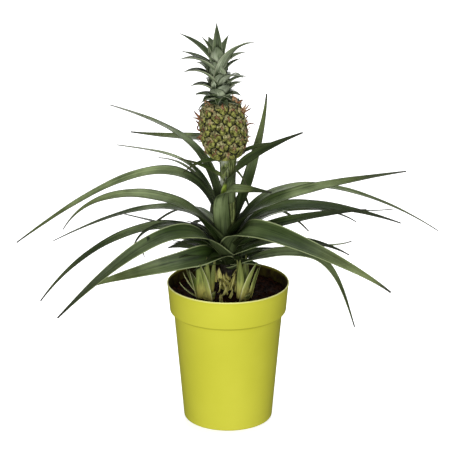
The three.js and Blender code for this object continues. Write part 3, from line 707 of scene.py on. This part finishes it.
def leaf_blade(row, tone, random, turned=None):
    """A blade along its arch, spaced along its true length where it has turned aside."""
    row = row + [0, 0, 2][len(row) - 9:]
    azimuth, height, rise, *arch, slope, width, swing, roll, onset = row
    middle, tip = arch[:2], arch[2:]
    width, late, onward = turned or (width, 0, 0)
    foot, end = np.array([LEAF["foot"], height]), np.array(tip, float)
    leaving, arriving = (np.array([cos(way), sin(way)]) for way in (radians(rise), radians(slope)))
    pull = 8 * np.array(middle) - 4 * foot - 4 * end
    spread = 3 * cross(leaving, arriving)
    first = foot + leaving * cross(pull, arriving) / spread
    second = end - arriving * cross(pull, leaving) / spread
    t = np.linspace(0, 1, 400)[:, None]
    curve = (1 - t) ** 3 * foot + 3 * t * (1 - t) ** 2 * first + 3 * t**2 * (1 - t) * second + t**3 * end
    path = np.column_stack([curve, swing * np.clip(curve[:, 0] / tip[0], 0, None) ** onset * bool(turned)])
    travelled = np.concatenate([[0], np.cumsum(np.linalg.norm(np.diff(path, axis=0), axis=1))])
    share = np.linspace(0, 1, LEAF["rings"] + 1)
    out, up = (np.interp(share * travelled[-1], travelled, curve[:, axis]) for axis in (0, 1))
    run, climb = np.gradient(out), np.gradient(up)
    reach = np.clip(out / tip[0], 0, None)
    direction = radians(azimuth)
    drift = onset * swing * reach ** (onset - 1) / tip[0]
    elevation = np.arctan2(climb, run * np.hypot(1, drift))
    settled = np.clip((share - 0.06) / 0.34, 0, 1)
    turn = radians(roll) * settled**2 * (3 - 2 * settled)
    turn = turn + radians(late) * np.clip((share - onward) / 0.3, 0, 1)
    turn = turn + 0.06 * np.sin(share * random.uniform(5, 9) + random.uniform(0, 6)) * share
    across, normal = blade_frame(direction + np.arctan(drift), elevation, turn)
    aside = swing * reach**onset
    sine, cosine = sin(direction), cos(direction)
    centre = np.stack([out * cosine - aside * sine, out * sine + aside * cosine, up], -1)
    base = width * (1 + LEAF["flare"] * np.exp(-share / LEAF["flare_share"]))
    full = taper(share, base, LEAF["fullness"], LEAF["tip"])
    gutter = full / np.minimum(np.maximum(out, 1), full / radians(LEAF["gutter"]))
    part = blade(centre, across, normal, full, gutter, LEAF["cells"], tone)
    form = part["traits"]["form"]
    ripple = np.sin(form[:, 0] * random.uniform(24, 34) + form[:, 1] * 2) * abs(form[:, 1]) ** 3
    part["points"][:, 2] += 0.45 * ripple * np.clip(form[:, 0] * 4, 0, 1) * (1 - form[:, 0])
    return part


# The leaves' dark foot colour is painted shade, where they crowd round the stem.
LEAF_HUES = BRACT_HUES | {
    "dark": (0.004, 0.01, 0.001), "mid": (0.025, 0.052, 0.006), "under": (0.008, 0.017, 0.003),
    "bloom": (0.072, 0.102, 0.03), "light": (0.255, 0.32, 0.145), "outer": (0.11, 0.135, 0.03),
    "foot": (0.006, 0.01, 0.002), "margin": (0.36, 0.42, 0.2), "tip": (0.022, 0.024, 0.012),
    "rind": (0.018, 0.022, 0.005), "turn": 0.45, "dry": 0.9, "depth": 0.36, "edge": 0.75, "shade": 0.86,
    "lift": 0.7, "soft": 0.22, "relief": 0.0005, "gloss": 0.4,
}
LIT_SHARES = [0.15, 0.4, 0.6, 0.85]
# For each leaf, how pale it is at those shares of its length, its own tone together with the light
# and shade painted along it, and how pale its margin is.
LEAF_LIGHT_AND_TONE = [
    [0.45, 0.9, 0.8, 0.5, 0.8], [0.9, 1.2, 1, 0.8, 0.7], [0.1, 0.2, 0.3, 0.2, 0.2],
    [0, 0.1, 0.6, 0.9, 0.9], [0.5, 0, 0, 0, 0.3], [0.8, 0.1, 0, 0, 0.2], [0.2, 0.1, 0, 0.1, 0.3],
    [0.45, 0.05, 0.4, 0.2, 0.9], [1.2, 0.3, 0.2, 0.2, 0.4], [0.9, 0.3, 0.3, 0.3, 0.4],
    [0.6, 0.9, 0.3, 0.5, 0.3], [0.55, 0.2, 0.05, 1.6, 0.9], [0.3, 1.3, 0.3, 0.3, 0.4],
    [1.2, 0.4, 0.3, 0.3, 0.4], [0.1, 0.2, 0.2, 0.2, 0.3], [0.05, 0.2, 0.1, 0, 0.2],
    [0.4, 0.7, 0.5, 0.5, 0.3], [0, 0.4, 0.8, 0.4, 0.4], [0.3, 0.2, 0, 0, 0.3], [0.1, 1.6, 2.4, 0.2, 0.3],
    [1.2, 1, 1, 0.3, 0.4], [0.4, 0.1, 0, 0, 0.3], [0.5, 0.9, 1, 0.9, 0.2], [0.2, 1.5, 1, 0.8, 0.4],
    [0, 0.5, 1.4, 0.4, 0.3], [0.8, 0.6, 1.2, 0.8, 0.4], [0.6, 1.2, 1.2, 0.8, 0.4],
    [0.5, 0.4, 0.2, 0.2, 0.2], [1, 1.6, 1.4, 1, 0.4], [0.1, 0.2, 1.3, 0.8, 0.2],
    [0.5, 0.8, 0.8, 0.6, 0.3], [0.3, 0.6, 1.1, 0.6, 0.4], [1.2, 0.2, 0.1, 0.1, 0.4],
]
leaf_finish = finish("leaf", paint_leaf, LEAF_HUES)
random = np.random.default_rng(21)
for number, (row, (*lights, margin)) in enumerate(zip(LEAVES, LEAF_LIGHT_AND_TONE), 1):
    seed = random.random(2)[1]  # the second of two draws
    part = leaf_blade(row, [0, margin, seed], random, TURNED.get(number))
    part["traits"]["tone"][:, 0] = np.interp(part["traits"]["form"][:, 0], LIT_SHARES, lights)
    add_piece(f"blade_{number:02d}", part, leaf_finish, [f"leaf_{number:02d}"])

# Rows of x, y, z and what a curl takes. The heart leaf is the young one with a yellow-green foot,
# which is partly its own colour and partly painted light.
INNER_LEAVES = [
    [-6, -4, 201, 200, 64, 34, -14, 10, 20], [-6, -5, 197, 212, 60, 22, -16, 12, 30],
    [-7, -3, 194, 190, 62, 14, -8, 11, 30], [-5, -6, 191, 224, 48, 12, -20, 10, 30],
    [-6, 0, 205, 178, 62, 26, -6, 9, 20], [-6, 2, 196, 168, 60, 20, 0, 11, 10],
    [-4, -7, 197, 236, 40, 30, -30, 10, 30], [6, -5, 199, -20, 42, 40, 6, 8, -20],
    [6, -4, 195, -6, 48, 26, 0, 11, -20], [5, -6, 190, -36, 42, 16, -10, 10, -30],
    [7, 0, 203, 8, 48, 34, 4, 9, -20], [6, 2, 196, 16, 52, 22, 6, 12, -10],
    [3, -8, 194, -60, 30, 30, -20, 9, -20], [-87, -70, 243, 190, 26, -50, -130, 3.4, 60],
    [12, -10, 186, -30, 16, 84, 100, 3, 0], [15, -8, 194, -10, 18, 80, 98, 3, 0],
    [6, -3, 201, -12, 62, 24, 6, 13, -25],
    [5, 4, 199, 24, 60, 26, 10, 14, -10], [6, 0, 207, -2, 56, 40, 16, 11, -20],
    [-5, 4, 200, 176, 66, 20, 6, 13, 10], [-6, 0, 192, 204, 56, 24, -4, 13, 30],
    [-6, -7, 196, 193, 66, 72, 5, 17, 15], [-4, -8, 190, 200, 60, 62, 0, 15, 10],
    [-8, -10, 213, 186, 52, 56, 44, 15, 25], [6, -2, 192, 2, 66, 14, 2, 12, -15],
]
HEART_LEAF = {"foot": [-5, -16, 267], "row": [-62, 30, 84, 58, 9.5, -12], "tone": [0.3, 1.8, 0.35]}
inner_parts = [curl(**HEART_LEAF, rings=16)]
# Painted shade: these leaves deep in the rosette are kept to the lowest paleness, so they paint near black.
for x, y, z, *row in INNER_LEAVES:
    tone = [random.uniform(0, 0.15), random.uniform(0, 0.6), random.random()]
    inner_parts.append(curl([x, y, z], row, tone, fullness=2, rings=16))
add_piece("inner_leaves", gathered(inner_parts), leaf_finish, ["stem"])


# The fruit: a small leaning pineapple, grown on the stalk. Its eyes stand in crossing spirals, each a
# fleshy pad with a papery bract on its upper half and the dried remains of a flower in its middle.

FRUIT = {
    "height": 66, "radius": 24.4, "foot": 9, "top": 13, "squareness": 2.3, "shoulder": 0.6,
    "eyes": 58, "first": 0.1, "last": 0.93, "smallest": 0.55, "relief": 3, "lean": 7, "offset": -1,
    "eye": 7, "seam": 6.5, "around": 220,
}
HEAD_FOOT = 312.6
GOLDEN = 137.5
HEART_UP, STAR_UP = 0.3, 0.35


def fruit_radius(share):
    end = np.where(share < 0.5, FRUIT["foot"], FRUIT["top"])
    bulge = np.clip(1 - abs(2 * share - 1) ** FRUIT["squareness"], 0, 1) ** FRUIT["shoulder"]
    return end + (FRUIT["radius"] - end) * bulge


def headed(points, lean=FRUIT["lean"], foot=(FRUIT["offset"], 0, HEAD_FOOT)):
    """Points built upright, leant to the left about the foot of the fruit."""
    sine, cosine = sin(-radians(lean)), cos(radians(lean))
    x, y, z = np.asarray(points).T
    return np.stack([x * cosine + z * sine, y, z * cosine - x * sine], -1) + foot


eyes = FRUIT["eyes"]
eye_share = np.linspace(FRUIT["first"], FRUIT["last"], eyes)
eye_turn = np.radians(np.arange(eyes) * GOLDEN)
eye_radius = fruit_radius(eye_share)
eye_fit = FRUIT["smallest"] + (1 - FRUIT["smallest"]) * eye_radius / FRUIT["radius"]
flare = fruit_radius(eye_share + 0.01) - fruit_radius(eye_share - 0.01)
eye_tilt = np.arctan2(flare, 0.02 * FRUIT["height"])
level, upright = np.zeros(eyes), np.array([0, 0, 1])
eye_out = np.stack([np.cos(eye_turn), np.sin(eye_turn), level], -1)
eye_side = np.stack([-np.sin(eye_turn), np.cos(eye_turn), level], -1)
sine, cosine = np.sin(eye_tilt)[:, None], np.cos(eye_tilt)[:, None]
eye_normal, eye_up = eye_out * cosine - upright * sine, eye_out * sine + upright * cosine
eye_middle = eye_out * eye_radius[:, None] + upright * (eye_share * FRUIT["height"])[:, None]

shares = (1 - np.cos(np.linspace(0.02, 0.98, 150) * pi)) / 2
flank = zip(fruit_radius(shares), shares * FRUIT["height"])
fruit = spun([(0, 0), *flank, (0, FRUIT["height"])], FRUIT["around"])
random = np.random.default_rng(4)
eye_seed = random.random(eyes)
away = fruit["points"][:, None] - eye_middle[None]
distance = np.linalg.norm(away, axis=2) / eye_fit
order = np.argsort(distance, 1)
rows, nearest = np.arange(len(order)), order[:, 0]
rim = (distance[rows, order[:, 1]] - distance[rows, nearest]) / FRUIT["seam"]
offset = away[rows, nearest] / (FRUIT["eye"] * eye_fit[nearest])[:, None]
sideways = (offset * eye_side[nearest]).sum(1)
upwards = (offset * eye_up[nearest]).sum(1)
star = np.arctan2(sideways, STAR_UP - upwards)
spokes = 0.5 + 0.5 * np.cos(star * 5 + eye_seed[nearest] * 2)
lower = np.clip((HEART_UP - upwards) / 0.25, 0, 1)
reach = np.hypot(sideways, upwards - STAR_UP)
pad = 1 - (1 - np.clip(rim / 0.55, 0, 1)) ** 2.2
fold = np.clip(1 - abs(sideways) / np.clip(0.2 + (upwards - HEART_UP) * 1.3, 0.05, 1), 0, 1) * (1 - lower)
ridges = spokes * lower * np.clip(reach / 0.3, 0, 1) * pad
heart = np.exp(-((upwards - HEART_UP) / 0.16) ** 2 - (sideways / 0.2) ** 2)
rise = FRUIT["relief"] * (0.7 * pad + 0.16 * ridges + 0.2 * fold * pad + 0.16 * heart)
heights = fruit["points"][:, 2]
ends = np.clip(np.minimum(heights, FRUIT["height"] - heights) / 3, 0, 1)
fruit["points"] = headed(fruit["points"] + eye_normal[nearest] * (rise * ends)[:, None])
fruit["traits"] = {
    "eye": np.stack([rim, upwards, sideways], -1),
    "bract": np.stack([ridges, eye_seed[nearest], heart], -1),
}


def paint_fruit(shade):
    """Yellow-green ridged lower halves, papery upper halves, dark seams and scorched hearts."""
    eye, cover = shade.trait("eye"), shade.trait("bract")
    rim, upwards, sideways = eye.part("X"), eye.part("Y"), eye.part("Z")
    ridges, seed, heart = cover.part("X"), cover.part("Y"), cover.part("Z")
    place = shade.place()
    mottle = place.noise(420, 3)
    speckle = place.noise(950, 2)
    cloud = place.noise(90, 2)
    lines = shade.joined(sideways * 12, upwards * 1.6, seed * 40).noise(1.5)
    # Painted light on the flesh: paler on the ridges of each eye as highlights, near black between them as
    # shade, over its mottled tone.
    lit = ridges * 0.24 + lines * 0.4 + mottle * 0.45 + speckle * 0.42
    flesh = lit.step(0.56, 0.92).mix((0.014, 0.022, 0.002), (0.52, 0.54, 0.13))
    crackle = (lines * 0.4 + mottle * 0.4 + speckle * 0.3).step(0.44, 0.62)
    papery = crackle.mix((0.014, 0.018, 0.004), (0.64, 0.62, 0.28))
    blush = (cloud + seed * 0.2 + mottle * 0.5).step(0.86, 1.1) * 0.7
    rosy = blush.mix(papery, (0.46, 0.24, 0.13))
    halves = (upwards + (mottle - 0.5) * 0.7).step(0.15, 0.5).mix(flesh, rosy)
    spotted = (speckle.step(0.52, 0.6) * mottle.step(0.6, 0.42)).mix(halves, (0.06, 0.038, 0.01))
    scorched = (speckle * 0.6 + seed * 0.5).step(0.4, 0.7).mix((0.14, 0.05, 0.015), (0.68, 0.3, 0.1))
    withered = (heart + (mottle - 0.5) * 0.9).step(0.55, 0.8) * (cloud + seed * 0.2).step(0.5, 0.6)
    scar = withered.mix(spotted, scorched)
    seam = (rim + (mottle - 0.5) * 0.9).step(0.24, 0.06)
    colour = seam.mix(scar, (0.02, 0.02, 0.005))
    return shade.surface(colour, 0.45, mottle + lines * 0.5 + speckle * 0.5, 0.0024, 0.25)


add_piece("pineapple", fruit, finish("fruit_skin", paint_fruit), ["fruit"])

EYE_BRACT_HUES = BRACT_HUES | {
    "dark": (0.06, 0.06, 0.02), "mid": (0.2, 0.18, 0.08), "under": (0.09, 0.09, 0.035),
    "bloom": (0.34, 0.31, 0.19), "light": (0.4, 0.34, 0.2), "outer": (0.42, 0.2, 0.11),
    "foot": (0.14, 0.15, 0.05), "margin": (0.5, 0.34, 0.22), "tip": (0.16, 0.06, 0.03),
    "rind": (0.05, 0.03, 0.015), "turn": 0.3, "dry": 0.9, "depth": 0.2, "relief": 0.0003,
}
FLORET_HUES = BRACT_HUES | {
    "dark": (0.03, 0.01, 0.004), "mid": (0.27, 0.085, 0.025), "under": (0.05, 0.016, 0.006),
    "bloom": (0.36, 0.13, 0.045), "light": (0.8, 0.6, 0.34), "outer": (0.06, 0.018, 0.008),
    "foot": (0.4, 0.26, 0.1), "margin": (0.6, 0.3, 0.16), "tip": (0.02, 0.01, 0.006),
    "rind": (0.06, 0.02, 0.01), "turn": 0.3, "dry": 0.8, "depth": 0.2, "edge": 0.5, "shade": 0.3,
    "relief": 0.0001, "gloss": 0.6,
}
eye_bracts, florets = [], []
for eye in range(eyes):
    normal, up, fit = eye_normal[eye], eye_up[eye], eye_fit[eye]
    surface = eye_middle[eye] + normal * FRUIT["relief"] * 0.8
    turn, slope = degrees(eye_turn[eye]), 90 - degrees(eye_tilt[eye])
    foot = surface + up * 2.6 * fit - normal * 1.3
    tone = [random.random() ** 2, random.random(), random.random()]
    length = random.uniform(4, 7) * fit
    row = [turn, length, slope - 120, slope - random.uniform(170, 200), 4.5 * fit]
    eye_bracts.append(curl(foot, row, tone, fullness=1.3, lag=0, rings=8, gutter=95))
    for _ in range(random.integers(2, 5)):
        along, aside = random.uniform(0.2, 1.8), random.uniform(-1, 1)
        foot = surface + up * along + eye_side[eye] * aside - normal * 0.8
        row = [turn + random.uniform(-60, 60), random.uniform(2, 5) + 6 * random.random() ** 4]
        row += [random.uniform(-20, 75), random.uniform(-120, 160), random.uniform(0.8, 1.8)]
        tone = [random.random() ** 2, random.random(), random.random()]
        wave = random.uniform(-0.8, 0.8)
        florets.append(curl(foot, row, tone, lag=0, rings=7, cells=2, wave=wave))
# Rows of x, y, z, what a curl takes, how pale, and the margin's paleness.
LOOSE_FLORETS = [
    [-29, -2, 359, 176, 14, 30, 70, 2.6, 0.1, 0.1], [-29, -3, 356, 182, 12, 45, 10, 2.2, 0.3, 0.3],
    [-30, 0, 353, 180, 8, 10, 70, 2, 0.1, 0.1], [-30, -2, 346, 180, 10, -20, 160, 1.8, 0, 0.1],
    [-28, -4, 337, 184, 9, 40, -30, 2, 0.3, 0.3], [-27, -6, 334, 200, 7, 60, 20, 2, 0.4, 0.5],
    [-26, -4, 333, 170, 7, -40, -90, 1.8, 0.2, 0.1], [-24, -4, 375, 160, 8, 60, 130, 2, 0.5, 0.6],
    [-20, -8, 376, 200, 7, 80, 30, 1.8, 0.6, 0.8], [12, -3, 374, 20, 12, 130, -60, 1.8, 0, 0.1],
    [15, -6, 370, -10, 9, 30, 70, 2.4, 0.9, 0.9], [16, -4, 368, 0, 11, 20, 60, 2.2, 0.6, 0.8],
    [18, -4, 368, 4, 9, -10, 50, 2, 0.2, 0.1], [17, -2, 358, 0, 7, 10, 60, 1.8, 0.2, 0.2],
    [20, -3, 350, 0, 12, 50, -40, 2, 0.1, 0.1], [21, -3, 337, 0, 6, 20, 20, 1.2, 0.1, 0.1],
    [18, -4, 331, 0, 5, 0, 60, 1.2, 0.1, 0.1], [5, -16, 384, -50, 9, 40, 150, 2.2, 0.8, 0.9],
    [9, -14, 381, -30, 10, 60, 190, 2, 0.7, 0.9], [12, -10, 380, -10, 7, 10, 80, 1.6, 0.3, 0.4],
]
for x, y, z, *row, light, warmth in LOOSE_FLORETS:
    foot = headed([[x - FRUIT["offset"], y, z - HEAD_FOOT]], -FRUIT["lean"], 0)[0]
    tone = [light, warmth, random.random()]
    wave = random.uniform(-0.5, 0.5)
    florets.append(curl(foot, [*row, 70], tone, lag=0, rings=10, cells=2, wave=wave))
for name, parts, hues in (("eye_bract", eye_bracts, EYE_BRACT_HUES), ("dried_floret", florets, FLORET_HUES)):
    part = gathered(parts)
    part["points"] = headed(part["points"])
    add_piece(name + "s", part, finish(name, paint_leaf, hues), ["fruit"])


# The crown: a tight rosette of short stiff leaves on top of the fruit, pale and scurfy at their
# broad feet, which are painted dark as the shade where the leaves overlap, green above and curled
# back to thin dry points.

# Rows of azimuth, height, length, elevation at the foot and the tip, and width.
CROWN_LEAVES = [
    [-150, 2, 15, 25, -20, 13], [-20, 3, 20, 45, -38, 11], [170, 4, 21, 25, -20, 11],
    [100, 4, 18, 35, -25, 13], [-110, 5, 17, 64, 36, 15], [45, 6, 20, 40, -20, 13],
    [-60, 7, 20, 68, 24, 15], [15, 9, 23, 45, -5, 11], [185, 10, 29, 50, -30, 13],
    [120, 11, 26, 50, -20, 13], [-80, 13, 23, 82, 52, 16], [-10, 13, 31, 55, -8, 11],
    [65, 14, 28, 52, -15, 14], [-40, 17, 36, 60, -30, 14], [190, 19, 42, 60, -28, 15],
    [-112, 21, 29, 84, 54, 18], [140, 23, 34, 58, -10, 14], [90, 25, 36, 60, -5, 15],
    [160, 23, 22, 48, 0, 11], [-34, 27, 67, 72, 0, 18], [0, 26, 31, 68, 8, 11],
    [195, 31, 48, 56, -18, 14], [40, 33, 32, 62, 5, 14], [165, 33, 45, 45, 8, 11],
    [110, 36, 42, 68, 20, 14], [10, 33, 36, 60, -5, 12], [-94, 34, 32, 89, 56, 17],
    [172, 38, 56, 58, 24, 15], [60, 38, 40, 70, 25, 8], [160, 41, 35, 72, 48, 10],
    [80, 40, 48, 90, 90, 9.5],
]
CROWN = {
    "height": 46, "foot": 10, "top": 3.5, "lean": 2.5, "sink": 2.5, "breadth": 1.34, "below": 6, "tip": 49,
}
FEET = {"leaves": 22, "low": -3, "high": 9, "length": (13, 21), "width": (8, 11), "reach": 7}
# The dark foot colour is painted shade, where each leaf lies under the next.
CROWN_HUES = BRACT_HUES | {
    "dark": (0.01, 0.024, 0.004), "mid": (0.07, 0.12, 0.025), "under": (0.05, 0.075, 0.025),
    "bloom": (0.32, 0.39, 0.22), "light": (0.64, 0.7, 0.52), "outer": (0.02, 0.045, 0.007),
    "foot": (0.012, 0.024, 0.004), "margin": (0.42, 0.45, 0.3), "tip": (0.02, 0.03, 0.01),
    "rind": (0.02, 0.036, 0.01), "turn": 0.15, "dry": 0.94, "depth": 0.27, "edge": 0.6, "shade": 0.95,
    "relief": 0.0006, "gloss": 0.42,
}
random = np.random.default_rng(12)
low, wide = -CROWN["below"], CROWN["foot"]
core = spun([(0, low), (wide, low), (wide, 0), (CROWN["top"], CROWN["height"]), (0, CROWN["tip"])], 32)
still = np.zeros((len(core["points"]), 3))
crown_parts = [core | {"traits": {"form": still, "tone": still}}]
for azimuth, foot, *form, width in CROWN_LEAVES:
    reach = CROWN["foot"] + (CROWN["top"] - CROWN["foot"]) * foot / CROWN["height"] - CROWN["sink"]
    turn = radians(azimuth)
    # Painted light: the leaves that face the front get a paler tone, on top of the scurf that pales every
    # crown leaf.
    pallor = 0.2 + 1.4 * max(0, -sin(turn)) ** 1.5
    tone = [pallor * random.uniform(0.8, 1.1), random.random(), random.random()]
    row = [azimuth, *form, width * CROWN["breadth"]]
    root = spot(turn, reach, foot + 1)
    crown_parts.append(curl(root, row, tone, fullness=2.9, lag=1 / 8, rings=18, cells=6, gutter=80))
for leaf in range(FEET["leaves"]):
    foot = FEET["low"] + (FEET["high"] - FEET["low"]) * leaf / FEET["leaves"]
    root = spot(radians(leaf * GOLDEN), FEET["reach"], foot)
    length, width = random.uniform(*FEET["length"]), random.uniform(*FEET["width"])
    row = [leaf * GOLDEN, length, random.uniform(10, 40), random.uniform(-60, -10), width]
    tone = [random.random() ** 3 * 0.5, 1.2 * random.random() ** 2, random.random()]
    crown_parts.append(curl(root, row, tone, fullness=2.1, lag=0, rings=12, cells=6, gutter=75))
crown = gathered(crown_parts)
crown_foot = headed([[0, 0, FRUIT["height"] + 0.3]])[0]
crown["points"] = headed(crown["points"], CROWN["lean"], crown_foot)
add_piece("crown_leaves", crown, finish("crown_leaf", paint_leaf, CROWN_HUES), ["crown"])
